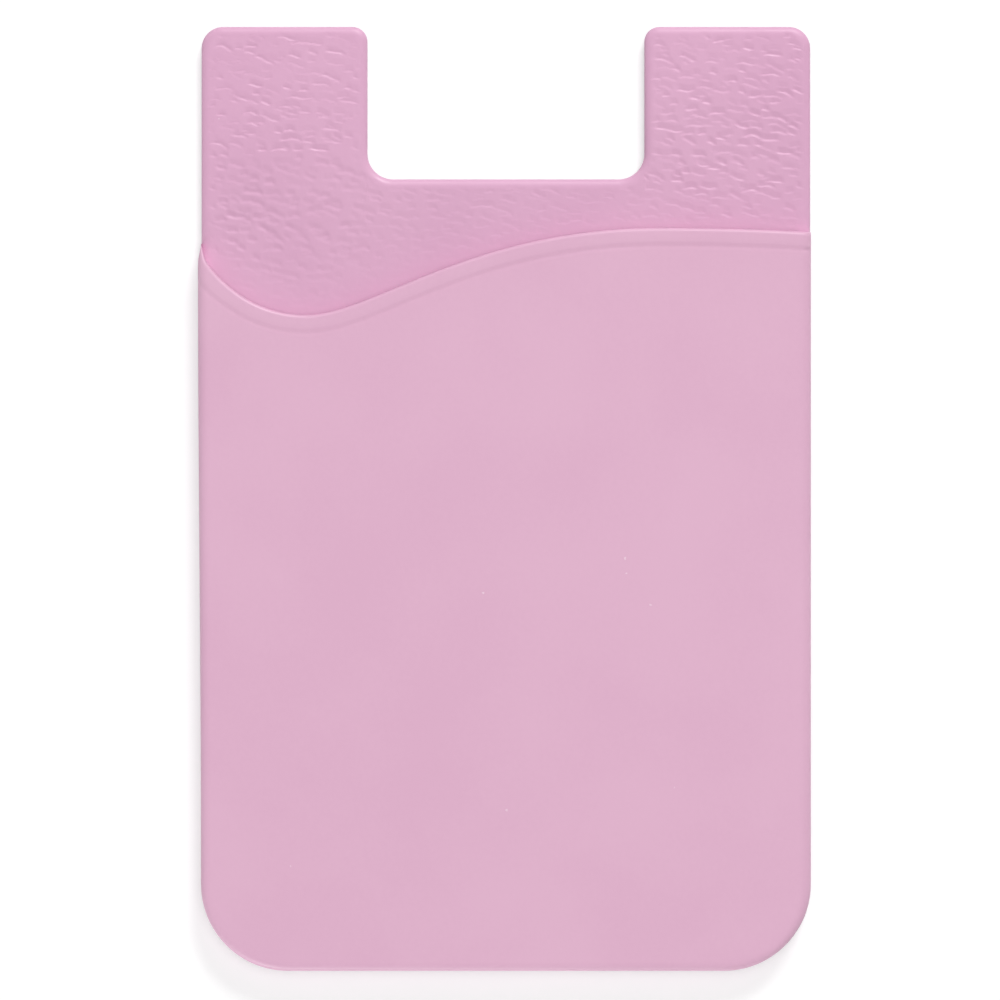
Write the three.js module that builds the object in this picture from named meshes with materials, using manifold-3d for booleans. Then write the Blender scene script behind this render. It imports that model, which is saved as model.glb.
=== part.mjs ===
import * as THREE from "three";
import { mergeVertices } from "three/addons/utils/BufferGeometryUtils.js";
import Module from "manifold-3d";

const wasm = await Module();
wasm.setup();

// The holder lies on its back: x runs across it, y runs up to the ears, z runs from the liner to the pocket front.
// All lengths are in millimetres.

// The card that the pocket takes, and its play
const cardWidth = 53.98;
const cardThickness = 0.76;
const widthPlay = 0.62; // both sides together
const thicknessPlay = 0.09;

// Outline of the back panel
const length = 88;
const bottomCornerRadius = 8.1;
const earOuterRadius = 2;
const earInnerRadius = 1.4;
const notchWidth = 25.84;
const notchDepth = 14.23;
const notchFloorRadius = 2.4;

// Walls and sheets
const sideWall = 1.1;
const bottomWall = 1.6;
const linerThickness = 0.15;
const adhesiveThickness = 0.25;
const panelThickness = 1.2;
const frontThickness = 0.9;

// Rounding of the moulded edges
const panelEdgeRadius = 0.5;
const frontEdgeRadius = 0.8;
const mostRounding = 0.45; // the share of a sheet's thickness that one rim may take

// The wave of the mouth: a trough near the left side and a long crest on the right
const stripBelowNotch = 4.61; // bare panel between the notch floor and the crest
const troughDrop = 8.1; // below the crest, as are the two ends
const leftEndDrop = 1.43;
const rightEndDrop = 0.4;
const troughInset = 9.8; // from the left side
const crestInset = 13.9; // from the right side

// How far each end, the trough and the crest pull the curve along before it turns
const leftEndPull = [1.04, 3.47];
const troughPullLeft = 4.95;
const troughPullRight = 6.25;
const crestPullLeft = 18;
const crestPullRight = 4.3;
const rightEndPull = [4.85, 0.3];

// The rolled bead along the mouth
const beadWidth = 1.72;
const beadRise = 0.15; // above the pocket front
const beadEdgeRadius = 0.42;
const rimOverhang = 0.2; // of the bead over the walls under it

// The left side of the pocket stands out a little under the bead's end
const sideSpread = 0.28;
const spreadRun = 1.9; // down from the bead's end to where it stands out most
const spreadFoot = 10; // above the bottom, where it is back on the panel's outline

// Adhesive sheet and liner
const adhesiveSideMargin = 2.9;
const adhesiveBottomMargin = 3;
const adhesiveTopMargin = 3.17; // below the notch floor
const adhesiveCornerRadius = 5.5;
const linerOverhang = 0.5;

// Facets
const arcSteps = 7;
const mouthSteps = 20;
const edgeSteps = 4;
const outside = 4; // how far a cutting shape runs past the outline
const finest = 1e-4; // levels are held to this step, so that layers meet exactly

// Places across and along
const slotHalfWidth = (cardWidth + widthPlay) / 2;
const halfWidth = slotHalfWidth + sideWall;
const halfLength = length / 2;
const notchHalfWidth = notchWidth / 2;
const notchFloor = halfLength - notchDepth;
const crestY = notchFloor - stripBelowNotch;
const leftEndY = crestY - leftEndDrop;

// Levels
const adhesiveLevel = linerThickness;
const panelLevel = adhesiveLevel + adhesiveThickness;
const slotLevel = panelLevel + panelThickness;
const frontLevel = slotLevel + cardThickness + thicknessPlay;
const frontTop = frontLevel + frontThickness;
const beadTop = frontTop + beadRise;

// A closed solid from a geometry that has one surface
function solid(geometry) {
  geometry.deleteAttribute("normal");
  geometry.deleteAttribute("uv");
  const merged = mergeVertices(geometry, 1e-5);
  const vertProperties = merged.attributes.position.array;
  const triVerts = new Uint32Array(merged.index.array);
  return new wasm.Manifold(new wasm.Mesh({ numProp: 3, vertProperties, triVerts }));
}

// An outline raised from one level to another, both rims rounded inside the outline
function slab(outline, bottom, top, edgeRadius = 0) {
  const rim = Math.min(edgeRadius, mostRounding * (top - bottom));
  const geometry = new THREE.ExtrudeGeometry(outline, {
    depth: top - bottom - 2 * rim,
    curveSegments: arcSteps,
    bevelEnabled: rim > 0,
    bevelThickness: rim,
    bevelSize: rim,
    bevelOffset: -rim,
    bevelSegments: edgeSteps,
  });
  const position = geometry.attributes.position;
  for (let i = 0; i < position.count; i++) {
    const level = Math.round((position.getZ(i) + bottom + rim) / finest) * finest;
    position.setZ(i, level);
  }
  return solid(geometry);
}

// The two lower corners, drawn from the left side to the right side
function addBottomCorners(outline, sideX, bottomY, radius) {
  outline.absarc(-sideX + radius, bottomY + radius, radius, Math.PI, 1.5 * Math.PI);
  outline.absarc(sideX - radius, bottomY + radius, radius, -0.5 * Math.PI, 0);
}

// The two upper corners of one ear or of a whole sheet, drawn from right to left
function addTopCorners(outline, right, left, top, rightRadius, leftRadius) {
  outline.absarc(right - rightRadius, top - rightRadius, rightRadius, 0, 0.5 * Math.PI);
  outline.absarc(left + leftRadius, top - leftRadius, leftRadius, 0.5 * Math.PI, Math.PI);
}

// The back panel with its two ears and the thumb notch between them
function panelOutline() {
  const outline = new THREE.Shape();
  const filletX = notchHalfWidth - notchFloorRadius;
  const filletY = notchFloor + notchFloorRadius;
  addBottomCorners(outline, halfWidth, -halfLength, bottomCornerRadius);
  addTopCorners(outline, halfWidth, notchHalfWidth, halfLength, earOuterRadius, earInnerRadius);
  outline.absarc(filletX, filletY, notchFloorRadius, 0, -0.5 * Math.PI, true);
  outline.absarc(-filletX, filletY, notchFloorRadius, -0.5 * Math.PI, -Math.PI, true);
  addTopCorners(outline, -notchHalfWidth, -halfWidth, halfLength, earInnerRadius, earOuterRadius);
  outline.closePath();
  return outline;
}

// The pocket seen from the front, running on past its mouth
function pocketOutline() {
  const outline = new THREE.Shape();
  const top = crestY + outside;
  const side = -halfWidth;
  const widest = side - sideSpread;
  const widestY = leftEndY - spreadRun;
  const footY = -halfLength + spreadFoot;
  const easeIn = spreadRun / 2;
  const easeOut = (widestY - footY) / 3;
  addBottomCorners(outline, halfWidth, -halfLength, bottomCornerRadius);
  outline.lineTo(halfWidth, top);
  outline.lineTo(side, top);
  outline.lineTo(side, leftEndY);
  outline.bezierCurveTo(side, leftEndY - easeIn, widest, widestY + easeIn, widest, widestY);
  outline.bezierCurveTo(widest, widestY - easeOut, side, footY + easeOut, side, footY);
  outline.closePath();
  return outline;
}

// The card slot seen from the front, open past the mouth
function slotOutline() {
  const outline = new THREE.Shape();
  const top = crestY + outside;
  addBottomCorners(outline, slotHalfWidth, -halfLength + bottomWall, bottomCornerRadius - sideWall);
  outline.lineTo(slotHalfWidth, top);
  outline.lineTo(-slotHalfWidth, top);
  outline.closePath();
  return outline;
}

// The adhesive's outline, or one that runs past it all round
function adhesiveOutline(overhang) {
  const outline = new THREE.Shape();
  const sideX = halfWidth - adhesiveSideMargin + overhang;
  const bottom = -halfLength + adhesiveBottomMargin - overhang;
  const top = notchFloor - adhesiveTopMargin + overhang;
  const radius = adhesiveCornerRadius + overhang;
  addBottomCorners(outline, sideX, bottom, radius);
  addTopCorners(outline, sideX, -sideX, top, radius, radius);
  outline.closePath();
  return outline;
}

// A curve that leaves its first end by one pull and comes to its last end against another
function pulledCurve(first, firstPull, last, lastPull) {
  const start = new THREE.Vector2(...first);
  const end = new THREE.Vector2(...last);
  const leaving = start.clone().add(new THREE.Vector2(...firstPull));
  const arriving = end.clone().add(new THREE.Vector2(...lastPull));
  return new THREE.CubicBezierCurve(start, leaving, arriving, end);
}

// The mouth in three curves: down into the trough, up to the crest, along to the right side
function mouthCurves() {
  const leftEnd = [-halfWidth, leftEndY];
  const trough = [-halfWidth + troughInset, crestY - troughDrop];
  const crest = [halfWidth - crestInset, crestY];
  const rightEnd = [halfWidth, crestY - rightEndDrop];
  const [leftAcross, leftDown] = leftEndPull;
  const [rightAcross, rightUp] = rightEndPull;
  return [
    pulledCurve(leftEnd, [leftAcross, -leftDown], trough, [-troughPullLeft, 0]),
    pulledCurve(trough, [troughPullRight, 0], crest, [-crestPullLeft, 0]),
    pulledCurve(crest, [crestPullRight, 0], rightEnd, [-rightAcross, rightUp]),
  ];
}

// The mouth from left to right, moved down into the pocket by a distance and run on past both sides
function mouthLine(inset) {
  const points = [];
  for (const curve of mouthCurves()) {
    const first = points.length ? 1 : 0;
    for (let step = first; step <= mouthSteps; step++) {
      const point = curve.getPoint(step / mouthSteps);
      const tangent = curve.getTangent(step / mouthSteps);
      points.push(new THREE.Vector2(point.x + tangent.y * inset, point.y - tangent.x * inset));
    }
  }
  const runOn = (end, next) => end.clone().sub(next).setLength(outside).add(end);
  points.unshift(runOn(points[0], points[1]));
  points.push(runOn(points.at(-1), points.at(-2)));
  return points;
}

// Everything under the mouth, wider than the pocket
function underMouth(inset) {
  const line = mouthLine(inset);
  const sideX = halfWidth + 2 * outside;
  const bottom = -halfLength - outside;
  const corners = [
    new THREE.Vector2(sideX, line.at(-1).y),
    new THREE.Vector2(sideX, bottom),
    new THREE.Vector2(-sideX, bottom),
    new THREE.Vector2(-sideX, line[0].y),
  ];
  return new THREE.Shape([...line, ...corners]);
}

// The strip that the bead covers
function beadOutline() {
  return new THREE.Shape([...mouthLine(0), ...mouthLine(beadWidth).reverse()]);
}

// The pocket as a plain block from one level to another, ending under the bead
function pocketBlock(bottom, top) {
  const cut = slab(underMouth(rimOverhang), bottom, top);
  return slab(pocketOutline(), bottom, top).intersect(cut);
}

// The panel, with the rim that carries the pocket wall standing in the middle of its thickness
function backPanel() {
  const panel = slab(panelOutline(), panelLevel, slotLevel, panelEdgeRadius);
  return panel.add(pocketBlock((panelLevel + slotLevel) / 2, slotLevel));
}

// The wall round both sides and the bottom of the card slot
function pocketWall() {
  const slot = slab(slotOutline(), slotLevel - outside, frontLevel + outside);
  return pocketBlock(slotLevel, frontLevel).subtract(slot);
}

// The sheet over the slot with its round rim, and the bead along its mouth
function pocketFront() {
  const belowBead = slab(underMouth(rimOverhang), frontLevel, frontTop + outside);
  const sheet = slab(pocketOutline(), panelLevel, frontTop, frontEdgeRadius).intersect(belowBead);
  const beadReach = slab(pocketOutline(), panelLevel, beadTop, frontEdgeRadius);
  const bead = slab(beadOutline(), frontLevel, beadTop, beadEdgeRadius).intersect(beadReach);
  return sheet.add(bead);
}

// The double-sided sheet on the back
function adhesiveSheet() {
  return slab(adhesiveOutline(0), adhesiveLevel, panelLevel);
}

// The paper that covers the sheet until the holder is used, a little larger to be gripped
function releaseLiner() {
  return slab(adhesiveOutline(linerOverhang), 0, adhesiveLevel);
}

// A named mesh of a solid
function piece(name, shape, material) {
  const made = shape.getMesh();
  const geometry = new THREE.BufferGeometry();
  geometry.setAttribute("position", new THREE.BufferAttribute(made.vertProperties, 3));
  geometry.setIndex(new THREE.BufferAttribute(made.triVerts, 1));
  geometry.computeVertexNormals();
  const mesh = new THREE.Mesh(geometry, material);
  mesh.name = name;
  return mesh;
}

const silicone = new THREE.MeshStandardMaterial({ color: 0xddb1c9, roughness: 0.62, metalness: 0 });
const adhesive = new THREE.MeshStandardMaterial({ color: 0xe6e4dc, roughness: 0.35, metalness: 0 });
const linerPaper = new THREE.MeshStandardMaterial({ color: 0xf2efe6, roughness: 0.8, metalness: 0 });

// The one moulding is made in three layers that meet face to face at the floor and the roof of the slot,
// so that the slot stays open to a card.
const holder = new THREE.Group();
holder.name = "stick_on_card_holder";
holder.add(piece("back_panel", backPanel(), silicone));
holder.add(piece("pocket_wall", pocketWall(), silicone));
holder.add(piece("pocket_front", pocketFront(), silicone));
holder.add(piece("adhesive_sheet", adhesiveSheet(), adhesive));
holder.add(piece("release_liner", releaseLiner(), linerPaper));

export default holder;
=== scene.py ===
import bmesh
import bpy
import numpy as np
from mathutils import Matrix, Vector


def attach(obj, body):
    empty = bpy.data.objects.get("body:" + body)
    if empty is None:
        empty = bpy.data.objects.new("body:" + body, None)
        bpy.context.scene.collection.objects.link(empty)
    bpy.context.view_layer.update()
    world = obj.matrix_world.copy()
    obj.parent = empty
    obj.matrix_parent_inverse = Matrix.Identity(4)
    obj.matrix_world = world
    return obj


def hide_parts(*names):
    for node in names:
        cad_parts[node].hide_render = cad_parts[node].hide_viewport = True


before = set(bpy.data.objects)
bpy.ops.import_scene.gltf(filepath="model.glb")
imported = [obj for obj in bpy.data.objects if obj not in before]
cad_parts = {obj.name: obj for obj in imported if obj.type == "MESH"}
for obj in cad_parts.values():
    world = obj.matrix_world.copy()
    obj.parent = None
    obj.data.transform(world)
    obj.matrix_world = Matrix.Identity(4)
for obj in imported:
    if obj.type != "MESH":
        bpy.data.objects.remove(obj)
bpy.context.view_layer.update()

# Sizes of the moulding, in millimetres. x runs across it, y up to the ears, z out of the pocket front.
mm = 0.001
half_width = 28.4
half_length = 44.0
bottom_corner = 8.1
ear_outer_corner = 2.0
ear_inner_corner = 1.4
notch_half = 12.92
notch_floor = 29.77
notch_fillet = 2.4
side_wall = 1.1
bottom_wall = 1.6
slot_half = half_width - side_wall
slot_corner = bottom_corner - side_wall

# Levels
underside = 0.4
underside_round = 0.5
panel_top = 1.6
slot_roof = 2.45
front_top = 3.35
bead_top = 3.5

# Rounding of the edges: how far it runs in from the edge, and how far it falls
edge_run = 0.9
panel_edge_fall = 0.5
front_edge_fall = 0.8
lip_chamfer = 0.12

# The wave of the mouth and the bead along it
mouth_left_end = (-28.4, 23.73)
trough = (-18.6, 17.06)
crest = (14.5, 25.16)
mouth_right_end = (28.4, 24.76)
bead_width = 1.72
bead_round = 0.38
bead_step = 0.115
bead_foot_run = 0.6
ease_run = 9.0
crease_depth = 0.035
crease_width = 0.22

# The left side stands out a little under the bead's end
side_spread = 0.28
spread_top = 23.73
spread_widest = 21.83
spread_foot = -34.0
spread_reach = 3.0
spread_bottom = 0.6

# Steps of the grids: distances inside a rounded edge, more at the bottom rim, and even steps elsewhere
edge_steps = np.array([0, 0.02, 0.06, 0.12, 0.2, 0.3, 0.42, 0.56, 0.72, 0.9])
bottom_rim_steps = np.concatenate([edge_steps, [1.15, 1.5, 2.0, 2.6]])
grain_step_across = 0.16
grain_rows_low = 92
grain_rows_ear = 150
front_step_across = 0.5
front_rows = 44
slot_side_rows = 40
slot_corner_rows = 9
underside_rows = 6

# Steps down over the bead: its round upper rim, its crown, its foot and the start of the easy slope
bead_steps = np.concatenate([
    edge_steps[:7],
    [0.6, 0.85],
    bead_width + np.linspace(-0.48, 0.36, 15),
    [bead_width + 0.5, bead_width + 0.8],
])

# A little room for rounding when two places are compared
hair = 1e-9


def smooth_step(low, high, value):
    """From 0 at low to 1 at high along the cubic 3t^2 - 2t^3."""
    t = np.clip((value - low) / (high - low), 0, 1)
    return t * t * (3 - 2 * t)


def between(low, high, share):
    """The value that lies between low and high by a share from 0 to 1."""
    return low + (high - low) * share


def round_fall(depth, run, fall):
    """A quarter ellipse: full fall at the edge, nothing from one run inside it."""
    t = np.clip(1 - depth / run, 0, 1)
    return fall * (1 - np.sqrt(np.maximum(1 - t * t, 0)))


def box_depth(x, y, half_x, low, high, low_radius, high_radius):
    """How far a point lies inside a box with round corners: the radius less the distance from the box that
    their centres make."""
    upper = y > (low + high) / 2
    radius = np.where(upper, high_radius, low_radius)
    across = np.abs(x) - half_x + radius
    along = np.where(upper, y - high, low - y) + radius
    beyond = np.hypot(np.maximum(across, 0), np.maximum(along, 0))
    return radius - beyond - np.minimum(np.maximum(across, along), 0)


def pocket_depth(x, y):
    """Distance inside the sides and the rounded bottom of the holder."""
    return box_depth(x, y, half_width, -half_length, half_length, bottom_corner, ear_outer_corner)


def panel_depth(x, y):
    """Distance inside the panel: the nearer of its outer edge and the notch, with arcs at the ears' inner
    corners."""
    notch = box_depth(x, y, notch_half, notch_floor, 3 * half_length, notch_fillet, notch_fillet)
    depth = np.minimum(pocket_depth(x, y), -notch)
    centre_x = notch_half + ear_inner_corner
    centre_y = half_length - ear_inner_corner
    arc = ear_inner_corner - np.hypot(np.abs(x) - centre_x, y - centre_y)
    in_corner = (np.abs(x) < centre_x) & (y > centre_y)
    return np.where(in_corner, arc, depth)


def pulled_curve(first, first_pull, last_pull, last):
    """A cubic curve whose points are its four corners weighted by the powers of the run t and of 1 - t."""
    point_count = 400
    t = np.linspace(0, 1, point_count)[:, None]
    s = 1 - t
    first, last = np.array(first), np.array(last)
    leaving, arriving = first + first_pull, last + last_pull
    return s**3 * first + 3 * s * s * t * leaving + 3 * s * t * t * arriving + t**3 * last


def mouth_line():
    """The mouth in three curves, run on straight past both sides, with its normals into the pocket."""
    curves = [
        pulled_curve(mouth_left_end, (1.04, -3.47), (-4.95, 0), trough),
        pulled_curve(trough, (6.25, 0), (-18, 0), crest)[1:],
        pulled_curve(crest, (4.3, 0), (-4.85, 0.3), mouth_right_end)[1:],
    ]
    line = np.vstack(curves)
    run_on = 4.0
    before = line[0] + run_on * (line[0] - line[1]) / np.linalg.norm(line[0] - line[1])
    after = line[-1] + run_on * (line[-1] - line[-2]) / np.linalg.norm(line[-1] - line[-2])
    line = np.vstack([before, line, after])
    way = np.gradient(line, axis=0)
    way[0], way[-1] = line[1] - line[0], line[-1] - line[-2]
    way /= np.linalg.norm(way, axis=1)[:, None]
    return line, np.column_stack([way[:, 1], -way[:, 0]])


mouth, into_pocket = mouth_line()


def mouth_y(x, inset=0.0):
    """Height of the line that runs at a distance under the mouth, at each x."""
    line = mouth + inset * into_pocket
    return np.interp(x, line[:, 0], line[:, 1])


def scatter(i, j, seed):
    """A repeatable number from 0 to 1 for each pair of whole numbers: the fraction of a large sine."""
    return np.modf(np.abs(np.sin(i * 127.1 + j * 311.7 + seed * 74.7) * 43758.5453))[0]


def cloud(x, y, seed):
    """Soft noise: scattered values at whole numbers, blended between them by the smooth step."""
    i, j = np.floor(x), np.floor(y)
    u, v = smooth_step(0, 1, x - i), smooth_step(0, 1, y - j)
    low = scatter(i, j, seed) * (1 - u) + scatter(i + 1, j, seed) * u
    high = scatter(i, j + 1, seed) * (1 - u) + scatter(i + 1, j + 1, seed) * u
    return low * (1 - v) + high * v


# Leather grain of the bare panel: short creases, one to a cell of staggered rows
cell_long = 1.55
cell_high = 0.76
shortest_half = 0.4
longest_half = 1.15
slopes = (-0.06, 0.49)
bends = (-0.1, 0.3)
wave_height = 0.05
wave_turns = 4.5
weakest_crease = 0.3
mostly_low = 1.4
end_run = 1.35
grain_depth = 0.095
steep_run = 0.19
gentle_run = 0.55

# The soft unevenness between the creases: its height and the size of its clouds
unevenness = 0.012
cloud_long = 1.6
cloud_high = 1.1

# Where the grain grows to its full depth, by distance inside the edge, above the mouth, and by x and y
edge_fade = (0.45, 1.1)
mouth_fade = (0.2, 1.2)
above_mouth_fade = (1.5, 5.0)
ear_fade = (10.5, 17)
trough_fade = (19.0, 26.0)


def short_creases(x, y):
    """The deepest of the creases near a point, from 0 to 1. Each has its own middle, length, slope down to
    the right, bend and strength. Below its line it rises steeply, above it gently, and it runs out at its
    ends."""
    column, row = np.floor(x / cell_long), np.floor(y / cell_high)
    deepest = np.zeros(x.shape)
    for down in (-2, -1, 0, 1, 2):
        j = row + down
        stagger = 0.5 * np.mod(j, 2)
        for aside in (-2, -1, 0, 1):
            i = column + aside
            along = x - (i + stagger + scatter(i, j, 1)) * cell_long
            middle_y = (j + scatter(i, j, 2)) * cell_high
            reach = between(shortest_half, longest_half, scatter(i, j, 3) ** mostly_low)
            slope = between(*slopes, scatter(i, j, 4) ** mostly_low)
            bend = between(*bends, scatter(i, j, 5))
            wave = wave_height * np.sin(wave_turns * along + 6.3 * scatter(i, j, 7))
            above = y - middle_y + slope * along + bend * along**2 + wave
            steep_side = smooth_step(-steep_run, 0, above)
            gentle_side = np.clip(1 - above / gentle_run, 0, 1)
            ends = smooth_step(0, 1, end_run * (1 - (along / reach) ** 2))
            strength = between(weakest_crease, 1, scatter(i, j, 9))
            deepest = np.maximum(deepest, strength * ends * np.minimum(steep_side, gentle_side))
    return deepest


def leather_grain(x, y):
    """Short creases with soft unevenness between them. They fade out at the edges and the mouth, and are
    weaker under the notch and towards the trough."""
    edge = smooth_step(*edge_fade, panel_depth(x, y))
    above = y - mouth_y(x)
    near_mouth = smooth_step(*mouth_fade, above) * between(0.6, 1, smooth_step(*above_mouth_fade, above))
    in_ears = between(0.5, 1, smooth_step(*ear_fade, np.abs(x)))
    over_trough = between(0.45, 1, smooth_step(*trough_fade, y))
    uneven = unevenness * (cloud(x / cloud_long, y / cloud_high, 8) - 0.5)
    return edge * near_mouth * in_ears * over_trough * (uneven - grain_depth * short_creases(x, y))


def panel_height(x, y):
    """The panel's front: flat, rounded at its edges, with the grain."""
    return panel_top - round_fall(panel_depth(x, y), edge_run, panel_edge_fall) + leather_grain(x, y)


def front_height(x, y, inset):
    """The front by distance under the mouth: a round upper rim, a small step down at the bead's foot with a
    shallow crease in it, then a long easy slope down to the flat front."""
    rim = round_fall(inset, bead_round, bead_round)
    foot = bead_step * smooth_step(bead_width - bead_foot_run, bead_width, inset)
    crease = crease_depth * np.exp(-(((inset - bead_width) / crease_width) ** 2))
    ease = (bead_top - bead_step - front_top) * smooth_step(bead_width, bead_width + ease_run, inset)
    level = bead_top - rim - foot - crease - ease
    return level - round_fall(pocket_depth(x, y), edge_run, front_edge_fall)


def ear_top(x):
    """Top of the ears: flat, with an arc at each corner."""
    outer = np.maximum(np.abs(x) - half_width + ear_outer_corner, 0)
    inner = np.maximum(notch_half + ear_inner_corner - np.abs(x), 0)
    outer_fall = ear_outer_corner - np.sqrt(np.maximum(ear_outer_corner**2 - outer**2, 0))
    inner_fall = ear_inner_corner - np.sqrt(np.maximum(ear_inner_corner**2 - inner**2, 0))
    return half_length - outer_fall - inner_fall


def notch_line(x):
    """Floor of the notch with its fillets, and level with their tops beyond it."""
    into = np.clip(np.abs(x) - notch_half + notch_fillet, 0, notch_fillet)
    return notch_floor + notch_fillet - np.sqrt(np.maximum(notch_fillet**2 - into**2, 0))


def bottom_line(x):
    """Bottom edge with its two large corner arcs."""
    into = np.maximum(np.abs(x) - half_width + bottom_corner, 0)
    return -half_length + bottom_corner - np.sqrt(np.maximum(bottom_corner**2 - into**2, 0))


def even(start, end, step):
    """Even places between two ends, about one step apart, without the ends."""
    count = max(int(round(abs(end - start) / step)), 1)
    return np.linspace(start, end, count + 1)[1:-1]


def front_columns():
    """Places across the pocket front, the same on both sides of its middle, close together at the sides."""
    side = -half_width + edge_steps
    left = np.concatenate([side, [-slot_half], even(-slot_half, 0, front_step_across)])
    return np.concatenate([left, [0.0], -left[::-1]])


def panel_columns():
    """Places across the panel, the same on both sides, close together at its sides and at the notch."""
    side = -half_width + edge_steps
    ear_edge = -notch_half - edge_steps[::-1]
    notch_edge = -notch_half + edge_steps[1:]
    ear = even(-slot_half, ear_edge[0], grain_step_across)
    middle = even(notch_edge[-1], 0, grain_step_across)
    left = np.concatenate([side, [-slot_half], ear, ear_edge, notch_edge, middle])
    return np.concatenate([left, [0.0], -left[::-1]])


def surface(x, y, z):
    """A grid of points from three arrays that are broadcast to the same two directions."""
    x, y, z = np.broadcast_arrays(x, y, z)
    return np.stack([x, y, z], axis=-1)


class Skin:
    """Patches of one closed skin, welded where their points meet."""

    def __init__(self):
        self.points, self.faces, self.count = [], [], 0

    def grid(self, points):
        """Quads between neighbouring points of a grid."""
        rows, cols = points.shape[:2]
        index = np.arange(rows * cols).reshape(rows, cols) + self.count
        quads = np.stack([index[:-1, :-1], index[:-1, 1:], index[1:, 1:], index[1:, :-1]], axis=-1)
        self.points.append(points.reshape(-1, 3))
        self.faces.extend(quads.reshape(-1, 4).tolist())
        self.count += rows * cols

    def cap(self, loop):
        """One flat face inside a closed loop of points."""
        self.points.append(loop)
        self.faces.append(list(range(self.count, self.count + len(loop))))
        self.count += len(loop)

    def welded(self):
        """Points that agree to a ten-thousandth of a millimetre become one."""
        points = np.vstack(self.points)
        _, first, where = np.unique(np.round(points, 4), axis=0, return_index=True, return_inverse=True)
        where = where.ravel()
        faces = []
        for face in self.faces:
            ring = [int(where[k]) for k in face]
            ring = [k for n, k in enumerate(ring) if k != ring[n - 1]]
            if len(ring) > 2:
                faces.append(ring)
        return points[first], faces


def add_panel(skin, across):
    """The bare panel: a lower block from the mouth to the notch, and one block for each ear above it."""
    floor_line = notch_line(across)
    below = np.linspace(0, 1, grain_rows_low + 1)[:, None]
    start, end = mouth_y(across), floor_line - edge_steps[-1]
    y = np.vstack([between(start, end, below), floor_line - edge_steps[-2::-1, None]])
    low_block = surface(across, y, panel_height(across[None, :] + 0 * y, y))
    skin.grid(low_block)
    ears = []
    shoulder = notch_floor + notch_fillet
    for ear in (across[across <= -notch_half + hair], across[across >= notch_half - hair]):
        top = ear_top(ear)
        end = top - edge_steps[-1]
        run = np.linspace(0, 1, grain_rows_ear + 1)[:, None]
        y = np.vstack([between(shoulder, end, run), top - edge_steps[-2::-1, None]])
        block = surface(ear, y, panel_height(ear[None, :] + 0 * y, y))
        skin.grid(block)
        ears.append(block)
    return low_block, ears


def add_front(skin, across):
    """The pocket front: rows at set distances under the mouth over the bead, then even rows to the rounded
    bottom, where the distance is taken straight down from the mouth."""
    bead_rows = np.array([mouth_y(across, inset) for inset in bead_steps])
    low = bottom_line(across)
    run = np.linspace(0, 1, front_rows + 1)[1:, None]
    start, end = bead_rows[-1], low + bottom_rim_steps[-1]
    y = np.vstack([bead_rows, between(start, end, run), low + bottom_rim_steps[-2::-1, None]])
    below_mouth = np.maximum(mouth_y(across) - y[len(bead_steps):], bead_steps[-1])
    inset = np.vstack([bead_steps[:, None] + 0 * bead_rows, below_mouth])
    block = surface(across, y, front_height(across[None, :] + 0 * y, y, inset))
    skin.grid(block)
    return block


def add_lips(skin, panel_row, front_row):
    """The mouth's face: beside the slot from panel to bead, over it from the slot's roof to the bead."""
    edge_share = (slot_roof + lip_chamfer - panel_top) / (bead_top - bead_round - panel_top)
    for side in (-1, 1):
        low = panel_row[panel_row[:, 0] * side >= slot_half - hair]
        high = front_row[front_row[:, 0] * side >= slot_half - hair]
        middle = between(low, high, edge_share)
        skin.grid(np.stack([low, middle, high]))
    over = front_row[np.abs(front_row[:, 0]) <= slot_half + hair]
    face = surface(over[:, 0], over[:, 1], slot_roof + lip_chamfer)
    roof = surface(over[:, 0], mouth_y(over[:, 0], lip_chamfer), slot_roof)
    skin.grid(np.stack([over, face, roof]))
    return roof, edge_share


def add_slot(skin, panel_row, roof_row):
    """The card slot: a wall along its sides and rounded bottom, with a flat floor and a flat roof."""
    bottom = -half_length + bottom_wall
    turn = np.linspace(0, np.pi / 2, slot_corner_rows)
    arc_x = -slot_half + slot_corner - slot_corner * np.cos(turn)
    arc_y = bottom + slot_corner - slot_corner * np.sin(turn)
    top = roof_row[0, 1]
    along_side = np.full(slot_side_rows - 1, slot_half)
    left_y = np.linspace(top, arc_y[0], slot_side_rows)
    right_y = np.linspace(arc_y[0], roof_row[-1, 1], slot_side_rows)
    left_corner = np.column_stack([arc_x, arc_y])
    left = np.vstack([np.column_stack([-along_side, left_y[:-1]]), left_corner])
    right = np.vstack([left_corner[::-1] * (-1, 1), np.column_stack([along_side, right_y[1:]])])
    path = np.vstack([left, right])
    floor_path = surface(path[:, 0], path[:, 1], panel_top)
    roof_path = surface(path[:, 0], path[:, 1], slot_roof)
    mouth_ends = panel_row[np.isin(np.round(np.abs(panel_row[:, 0]), 6), np.round(slot_half, 6))]
    raised = surface(mouth_ends[:, 0], mouth_ends[:, 1], slot_roof + lip_chamfer)
    low = np.vstack([mouth_ends[:1], floor_path, mouth_ends[1:]])
    high = np.vstack([raised[:1], roof_path, raised[1:]])
    skin.grid(np.stack([low, high]))
    inside = panel_row[np.abs(panel_row[:, 0]) <= slot_half + hair]
    skin.cap(np.vstack([inside, floor_path[::-1]]))
    skin.cap(np.vstack([roof_row, roof_path[::-1][1:-1]]))


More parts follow.
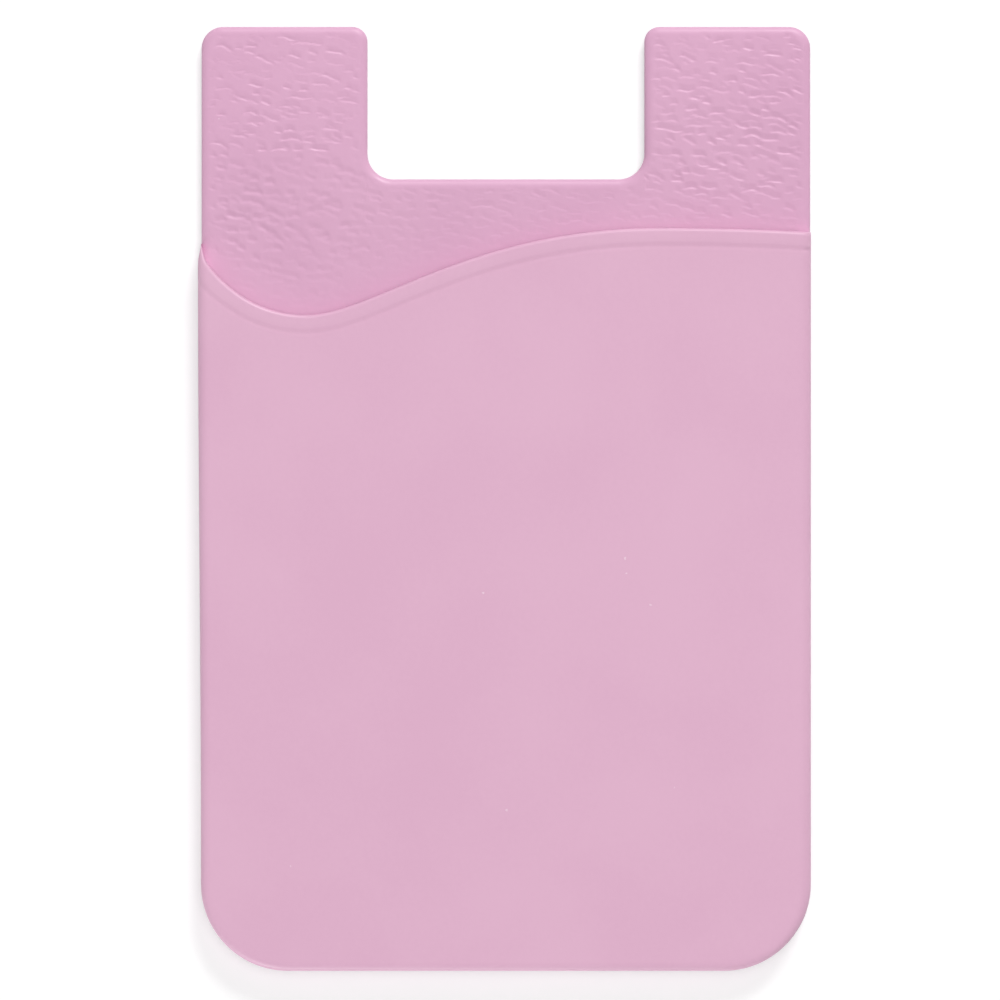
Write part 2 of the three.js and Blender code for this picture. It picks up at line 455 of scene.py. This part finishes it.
def add_walls(skin, low_block, ears, front, edge_share):
    """The outer wall: the outline carried down from each rim, then round under to the flat underside. Its
    way out at each point is the way in which the distance inside the panel falls."""
    left_ear, right_ear = ears
    notch_row = low_block[-1][np.abs(low_block[-1][:, 0]) <= notch_half + hair]
    front_part = np.vstack([front[:, 0], front[-1, 1:], front[-2::-1, -1]])
    panel_part = np.vstack([
        low_block[1:, -1],
        right_ear[1:, -1],
        right_ear[-1, -2::-1],
        right_ear[-2::-1, 0],
        notch_row[-2::-1],
        left_ear[1:, -1],
        left_ear[-1, -2::-1],
        left_ear[-2::-1, 0],
        low_block[-2:0:-1, 0],
    ])
    rim = panel_top - panel_edge_fall
    foot = front_part * (1, 1, 0) + (0, 0, rim)
    skin.grid(np.stack([front_part, between(foot, front_part, edge_share), foot]))
    loop = np.vstack([foot, panel_part])
    loop = np.vstack([loop, loop[:1]])
    x, y = loop[:, 0], loop[:, 1]
    nudge = 1e-4
    out_x = panel_depth(x - nudge, y) - panel_depth(x + nudge, y)
    out_y = panel_depth(x, y - nudge) - panel_depth(x, y + nudge)
    length = np.maximum(np.hypot(out_x, out_y), 1e-12)
    out = np.column_stack([out_x / length, out_y / length, 0 * x])
    rows = [loop]
    for turn in np.linspace(0, np.pi / 2, underside_rows):
        inset = underside_round * (1 - np.cos(turn))
        level = underside + underside_round * (1 - np.sin(turn))
        rows.append((loop - out * inset) * (1, 1, 0) + (0, 0, level))
    skin.grid(np.stack(rows))
    skin.cap(rows[-1][:-1])


def spread(points):
    """The left side moved out under the bead's end, most at its widest place, less inwards and low down."""
    x, y, z = points.T
    above = smooth_step(spread_top, spread_widest, y)
    below = smooth_step(spread_foot, spread_widest, y)
    share = np.where(y > spread_widest, above, below)
    inwards = 1 - smooth_step(0, spread_reach, x + half_width)
    lift = smooth_step(spread_bottom, panel_top - panel_edge_fall, z)
    return np.column_stack([x - side_spread * share * inwards * lift, y, z])


def make_piece(name, points, faces, sharp_angle):
    """A mesh object at the origin from points in millimetres and faces, its faces turned outwards."""
    mesh = bpy.data.meshes.new(name)
    mesh.from_pydata((points * mm).tolist(), [], faces)
    shape = bmesh.new()
    shape.from_mesh(mesh)
    bmesh.ops.recalc_face_normals(shape, faces=shape.faces)
    if shape.calc_volume(signed=True) < 0:
        bmesh.ops.reverse_faces(shape, faces=shape.faces)
    shape.to_mesh(mesh)
    shape.free()
    mesh.polygons.foreach_set("use_smooth", np.ones(len(mesh.polygons), bool))
    mesh.set_sharp_from_angle(angle=np.radians(sharp_angle))
    piece = bpy.data.objects.new(name, mesh)
    bpy.context.scene.collection.objects.link(piece)
    return piece


def holder_moulding():
    """The whole silicone moulding as one closed skin."""
    skin = Skin()
    low_block, ears = add_panel(skin, panel_columns())
    front = add_front(skin, front_columns())
    roof_row, edge_share = add_lips(skin, low_block[0], front[0])
    add_slot(skin, low_block[0], roof_row)
    add_walls(skin, low_block, ears, front, edge_share)
    points, faces = skin.welded()
    return make_piece("holder_moulding", spread(points), faces, sharp_angle=50)


class Wiring:
    """Adds and joins the nodes of one material or node group."""

    def __init__(self, tree):
        self.tree = tree

    def add(self, kind, settings=None, **inputs):
        """A node, its settings, and its inputs as values or as other nodes' outputs."""
        node = self.tree.nodes.new(kind)
        for name, value in (settings or {}).items():
            setattr(node, name, value)
        for name, value in inputs.items():
            self.join(node, name.replace("_", " "), value)
        return node

    def join(self, node, name, value):
        """One input by name or number, from a value or an output."""
        name = int(name[1:]) if name[0] == "n" and name[1:].isdigit() else name
        socket = node.inputs[name]
        if isinstance(value, bpy.types.NodeSocket):
            self.tree.links.new(value, socket)
        else:
            socket.default_value = value

    def math(self, operation, first, second=0.0):
        """One sum on two numbers."""
        return self.add("ShaderNodeMath", {"operation": operation}, n0=first, n1=second).outputs[0]

    def scaled(self, vector, factor):
        """A vector times one number."""
        node = self.add("ShaderNodeVectorMath", {"operation": "SCALE"}, n0=vector, Scale=factor)
        return node.outputs["Vector"]

    def range(self, value, low, high, out_low, out_high):
        """A number moved smoothly from one range to another and kept inside it."""
        ends = {"From_Min": low, "From_Max": high, "To_Min": out_low, "To_Max": out_high}
        node = self.add("ShaderNodeMapRange", {"interpolation_type": "SMOOTHSTEP"}, Value=value, **ends)
        return node.outputs["Result"]

    def noise(self, vector, scale, detail=2.0, roughness=0.5):
        """Soft noise, its size given as a count in each millimetre."""
        look = {"Scale": scale, "Detail": detail, "Roughness": roughness}
        return self.add("ShaderNodeTexNoise", Vector=vector, **look).outputs["Fac"]

    def colour_mix(self, share, first, second, blend="MIX"):
        """Two colours, the second one by the share given."""
        settings = {"data_type": "RGBA", "blend_type": blend}
        return self.add("ShaderNodeMix", settings, n0=share, n6=first, n7=second).outputs[2]


def new_group(name, inputs, outputs):
    """An empty shader group with named inputs and outputs."""
    tree = bpy.data.node_groups.new(name, "ShaderNodeTree")
    for label, kind, value in inputs:
        socket = tree.interface.new_socket(label, in_out="INPUT", socket_type=kind)
        if value is not None:
            socket.default_value = value
    for label, kind in outputs:
        tree.interface.new_socket(label, in_out="OUTPUT", socket_type=kind)
    wiring = Wiring(tree)
    return tree, wiring, wiring.add("NodeGroupInput").outputs, wiring.add("NodeGroupOutput")


def millimetres(wiring):
    """Object coordinates counted in millimetres."""
    return wiring.scaled(wiring.add("ShaderNodeTexCoord").outputs["Object"], 1 / mm)


def mottled_colour_group():
    """A colour that drifts a little lighter and darker in wide clouds, with faint fine flecks. The two
    noises are added by their shares, and the sum's middle part runs from the dark colour to the light."""
    tree, wiring, inputs, output = new_group(
        "mottled_colour",
        [
            ("Place", "NodeSocketVector", None),
            ("Light Colour", "NodeSocketColor", None),
            ("Dark Colour", "NodeSocketColor", None),
            ("Cloud Size", "NodeSocketFloat", 0.1),
            ("Fleck Size", "NodeSocketFloat", 3.0),
        ],
        [("Colour", "NodeSocketColor")],
    )
    wide_share, fine_share = 0.75, 0.25
    darkest, lightest = 0.32, 0.68
    wide = wiring.noise(inputs["Place"], inputs["Cloud Size"], 3.0)
    fine = wiring.noise(inputs["Place"], inputs["Fleck Size"], 2.0)
    clouds = wiring.math("MULTIPLY", wide, wide_share)
    share = wiring.math("ADD", clouds, wiring.math("MULTIPLY", fine, fine_share))
    share = wiring.range(share, darkest, lightest, 0.0, 1.0)
    colour = wiring.colour_mix(share, inputs["Dark Colour"], inputs["Light Colour"])
    wiring.join(output, "Colour", colour)
    return tree


def dust_group():
    """A mask of rare small specks: the middles of a few cells of a scattered pattern, bent by noise so that
    the specks aren't round."""
    tree, wiring, inputs, output = new_group(
        "dust_specks",
        [
            ("Place", "NodeSocketVector", None),
            ("Cells", "NodeSocketFloat", 0.3),
            ("Speck Size", "NodeSocketFloat", 0.06),
            ("Share", "NodeSocketFloat", 0.2),
        ],
        [("Mask", "NodeSocketFloat")],
    )
    bend_count, bend_depth = 6.0, 0.25
    bent = wiring.add("ShaderNodeTexNoise", Vector=inputs["Place"], Scale=bend_count, Detail=1.0)
    shift = wiring.scaled(bent.outputs["Color"], bend_depth)
    moved = wiring.add("ShaderNodeVectorMath", {"operation": "ADD"}, n0=inputs["Place"], n1=shift)
    cells = wiring.add("ShaderNodeTexVoronoi", Vector=moved.outputs["Vector"], Scale=inputs["Cells"])
    small = wiring.math("LESS_THAN", cells.outputs["Distance"], inputs["Speck Size"])
    split = wiring.add("ShaderNodeSeparateColor", Color=cells.outputs["Color"])
    rare = wiring.math("LESS_THAN", split.outputs[0], inputs["Share"])
    wiring.join(output, "Mask", wiring.math("MULTIPLY", small, rare))
    return tree


def matt_relief_group():
    """A height of fine matt texture: two sizes of noise, the finer one weaker."""
    tree, wiring, inputs, output = new_group(
        "matt_relief",
        [
            ("Place", "NodeSocketVector", None),
            ("Coarse", "NodeSocketFloat", 1.5),
            ("Fine", "NodeSocketFloat", 6.0),
            ("Fine Share", "NodeSocketFloat", 0.4),
        ],
        [("Height", "NodeSocketFloat")],
    )
    coarse = wiring.noise(inputs["Place"], inputs["Coarse"], 2.0)
    fine = wiring.noise(inputs["Place"], inputs["Fine"], 3.0, 0.6)
    height = wiring.math("ADD", coarse, wiring.math("MULTIPLY", fine, inputs["Fine Share"]))
    wiring.join(output, "Height", height)
    return tree


groups = {
    "colour": mottled_colour_group(),
    "dust": dust_group(),
    "relief": matt_relief_group(),
}


def place_group(wiring, name, **inputs):
    """One of the shared groups, placed with its own values."""
    return wiring.add("ShaderNodeGroup", {"node_tree": groups[name]}, **inputs).outputs


def empty_material(name):
    """A material whose node tree is still empty."""
    material = bpy.data.materials.new(name)
    material.use_nodes = True
    material.node_tree.nodes.clear()
    return material, Wiring(material.node_tree)


def linear(red, green, blue):
    """A colour given as the eye reads it, 0 to 255, turned into light by a power of 2.4 above its straight
    dark part."""
    shown = np.array([red, green, blue]) / 255
    light = np.where(shown > 0.04045, ((shown + 0.055) / 1.055) ** 2.4, shown / 12.92)
    return (*light.tolist(), 1.0)


# The front's painted sheen, a lighter and paler colour, begins a little above the panel, and the roughness
# drifts over a few millimetres
painted_sheen_start = panel_top + 0.2
drift_count = 0.35
drift_ends = (0.3, 0.7)


def finish_material(name, colours, roughness, clouds, dust, relief, specular=0.5, front=None):
    """One finish: mottled colour with dust on it, roughness that drifts, and a fine relief. Colours are its
    light, its dark and its dust's. Clouds are the counts in each millimetre of its clouds and flecks. Dust
    is its cells in each millimetre, the speck's size, how many cells have one and how strongly it shows.
    Relief is its coarse and fine counts, the fine one's share, its height in millimetres and its strength.
    The front argument is painted sheen: it multiplies the colour above the bare panel, making the front
    lighter and paler."""
    light, dark, speck = colours
    cloud_count, fleck_count = clouds
    cells, speck_size, speck_share, speck_strength = dust
    coarse, fine, fine_share, height, strength = relief
    material, wiring = empty_material(name)
    place = millimetres(wiring)

    sizes = {"Cloud_Size": cloud_count, "Fleck_Size": fleck_count}
    mottled = place_group(wiring, "colour", Place=place, Light_Colour=light, Dark_Colour=dark, **sizes)
    colour = mottled["Colour"]
    # Painted sheen: the front above the bare panel is made lighter and paler by a multiplied colour
    if front:
        level = wiring.add("ShaderNodeSeparateXYZ", Vector=place).outputs["Z"]
        painted_sheen_share = wiring.range(level, painted_sheen_start, slot_roof, 0.0, 1.0)
        colour = wiring.colour_mix(painted_sheen_share, colour, front, "MULTIPLY")
    specks = {"Cells": cells, "Speck_Size": speck_size, "Share": speck_share}
    mask = place_group(wiring, "dust", Place=place, **specks)["Mask"]
    colour = wiring.colour_mix(wiring.math("MULTIPLY", mask, speck_strength), colour, speck)

    drift = wiring.noise(place, drift_count, 3.0)
    rough = wiring.range(drift, *drift_ends, *roughness)

    grains = {"Coarse": coarse, "Fine": fine, "Fine_Share": fine_share}
    level = place_group(wiring, "relief", Place=place, **grains)["Height"]
    bump = wiring.add("ShaderNodeBump", Height=level, Strength=strength, Distance=height * mm)
    shader = wiring.add(
        "ShaderNodeBsdfPrincipled",
        Base_Color=colour,
        Roughness=rough,
        Normal=bump.outputs["Normal"],
        Specular_IOR_Level=specular,
    )
    wiring.add("ShaderNodeOutputMaterial", Surface=shader.outputs[0])
    return material


def give(piece, material):
    """The piece's only material."""
    piece.data.materials.clear()
    piece.data.materials.append(material)


silicone = finish_material(
    "pink_silicone",
    colours=(linear(220, 171, 200), linear(217, 167, 197), linear(240, 215, 228)),
    roughness=(0.36, 0.44),
    clouds=(0.09, 2.5),
    dust=(0.45, 0.045, 0.12, 0.7),
    relief=(2.2, 7.0, 0.5, 0.01, 0.6),
    specular=0.4,
    # Painted sheen: these factors make the front lighter and paler than the panel
    front=(1.025, 1.075, 1.02, 1.0),
)
adhesive = finish_material(
    "tacky_adhesive",
    colours=(linear(231, 229, 222), linear(222, 219, 209), linear(200, 196, 188)),
    roughness=(0.28, 0.42),
    clouds=(0.12, 1.2),
    dust=(0.5, 0.05, 0.15, 0.5),
    relief=(0.8, 3.0, 0.4, 0.02, 0.5),
)
liner_paper = finish_material(
    "coated_liner_paper",
    colours=(linear(244, 242, 235), linear(236, 233, 223), linear(214, 208, 196)),
    roughness=(0.6, 0.78),
    clouds=(0.06, 4.0),
    dust=(0.6, 0.04, 0.1, 0.4),
    relief=(1.6, 9.0, 0.7, 0.012, 0.4),
)

moulding = holder_moulding()
give(moulding, silicone)
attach(moulding, "root")
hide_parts("back_panel", "pocket_wall", "pocket_front")
give(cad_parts["adhesive_sheet"], adhesive)
give(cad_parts["release_liner"], liner_paper)
for hidden in ("back_panel", "pocket_wall", "pocket_front"):
    give(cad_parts[hidden], silicone)


def shown_to_camera(wiring):
    """One for what the camera sees straight, in a reflection or through something clear."""
    path = wiring.add("ShaderNodeLightPath").outputs
    seen = wiring.math("MAXIMUM", path["Is Camera Ray"], path["Is Glossy Ray"])
    return wiring.math("MAXIMUM", seen, path["Is Transmission Ray"])


def floor_material():
    """White board that shows white to the camera, keeps the shadow, and is clear from below.
    It glows more away from the holder, where the lamps don't reach."""
    lit_grey, shown_grey = linear(226, 226, 226), linear(200, 200, 200)
    near, far = 0.1, 0.4
    near_glow, far_glow = 0.5, 1.0
    material, wiring = empty_material("pale_floor")
    board = wiring.add("ShaderNodeBsdfDiffuse", Color=lit_grey).outputs[0]
    shown_board = wiring.add("ShaderNodeBsdfDiffuse", Color=shown_grey).outputs[0]
    place = wiring.add("ShaderNodeTexCoord").outputs["Object"]
    distance = wiring.add("ShaderNodeVectorMath", {"operation": "LENGTH"}, n0=place).outputs["Value"]
    strength = wiring.range(distance, near, far, near_glow, far_glow)
    glow = wiring.add("ShaderNodeEmission", Strength=strength).outputs[0]
    shown = wiring.add("ShaderNodeAddShader", n0=shown_board, n1=glow).outputs[0]
    seen = shown_to_camera(wiring)
    lit = wiring.add("ShaderNodeMixShader", n0=seen, n1=board, n2=shown).outputs[0]
    clear = wiring.add("ShaderNodeBsdfTransparent").outputs[0]
    below = wiring.add("ShaderNodeNewGeometry").outputs["Backfacing"]
    both = wiring.add("ShaderNodeMixShader", n0=below, n1=lit, n2=clear).outputs[0]
    wiring.add("ShaderNodeOutputMaterial", Surface=both)
    return material


def pale_floor():
    """A flat square under the holder, wide enough for the low views."""
    reach = 3.0
    corners = [(-reach, -reach, 0), (reach, -reach, 0), (reach, reach, 0), (-reach, reach, 0)]
    mesh = bpy.data.meshes.new("pale_floor")
    mesh.from_pydata(corners, [], [(0, 1, 2, 3)])
    board = bpy.data.objects.new("pale_floor", mesh)
    bpy.context.scene.collection.objects.link(board)
    mesh.materials.append(floor_material())


def area_lamp(name, place, width, height, power, shines=True):
    """A rectangular lamp that faces the middle of the holder, with or without its reflection."""
    lamp = bpy.data.lights.new(name, "AREA")
    lamp.shape = "RECTANGLE"
    lamp.size, lamp.size_y = width, height
    lamp.energy = power
    body = bpy.data.objects.new(name, lamp)
    body.location = place
    body.rotation_mode = "QUATERNION"
    body.rotation_quaternion = (-Vector(place)).to_track_quat("-Z", "Y")
    body.visible_glossy = shines
    bpy.context.scene.collection.objects.link(body)


def soft_room(strength):
    """An even pale room, white where the camera sees it."""
    world = bpy.data.worlds.new("soft_room")
    world.use_nodes = True
    world.node_tree.nodes.clear()
    wiring = Wiring(world.node_tree)
    white = (1, 1, 1, 1)
    room = wiring.add("ShaderNodeBackground", Color=white, Strength=strength).outputs[0]
    shown = wiring.add("ShaderNodeBackground", Color=white, Strength=1.0).outputs[0]
    seen = shown_to_camera(wiring)
    both = wiring.add("ShaderNodeMixShader", n0=seen, n1=room, n2=shown).outputs[0]
    wiring.add("ShaderNodeOutputWorld", Surface=both)
    bpy.context.scene.world = world


def camera_above():
    """Straight down on the holder, its ears at the top of the picture."""
    distance = 0.6
    seen_width = 0.0932
    sensor = 36.0
    picture_middle = (-0.00055, -0.000154)
    true_level = 0.002
    lens = bpy.data.cameras.new("camera")
    lens.sensor_width = sensor
    lens.lens = sensor * distance / seen_width
    lens.clip_start, lens.clip_end = 0.01, 10
    camera = bpy.data.objects.new("camera", lens)
    camera.location = (*picture_middle, distance + true_level)
    bpy.context.scene.collection.objects.link(camera)
    bpy.context.scene.camera = camera


pale_floor()
area_lamp("overhead", (0.05, 0.06, 0.85), width=0.5, height=0.4, power=2.5, shines=False)
area_lamp("soft_key", (0.4, 1.2, 0.95), width=0.55, height=0.4, power=15)
area_lamp("low_fill", (-0.15, -0.38, 0.045), width=0.3, height=0.06, power=0.85)
soft_room(strength=0.26)
camera_above()
bpy.context.scene.view_settings.view_transform = "Standard"
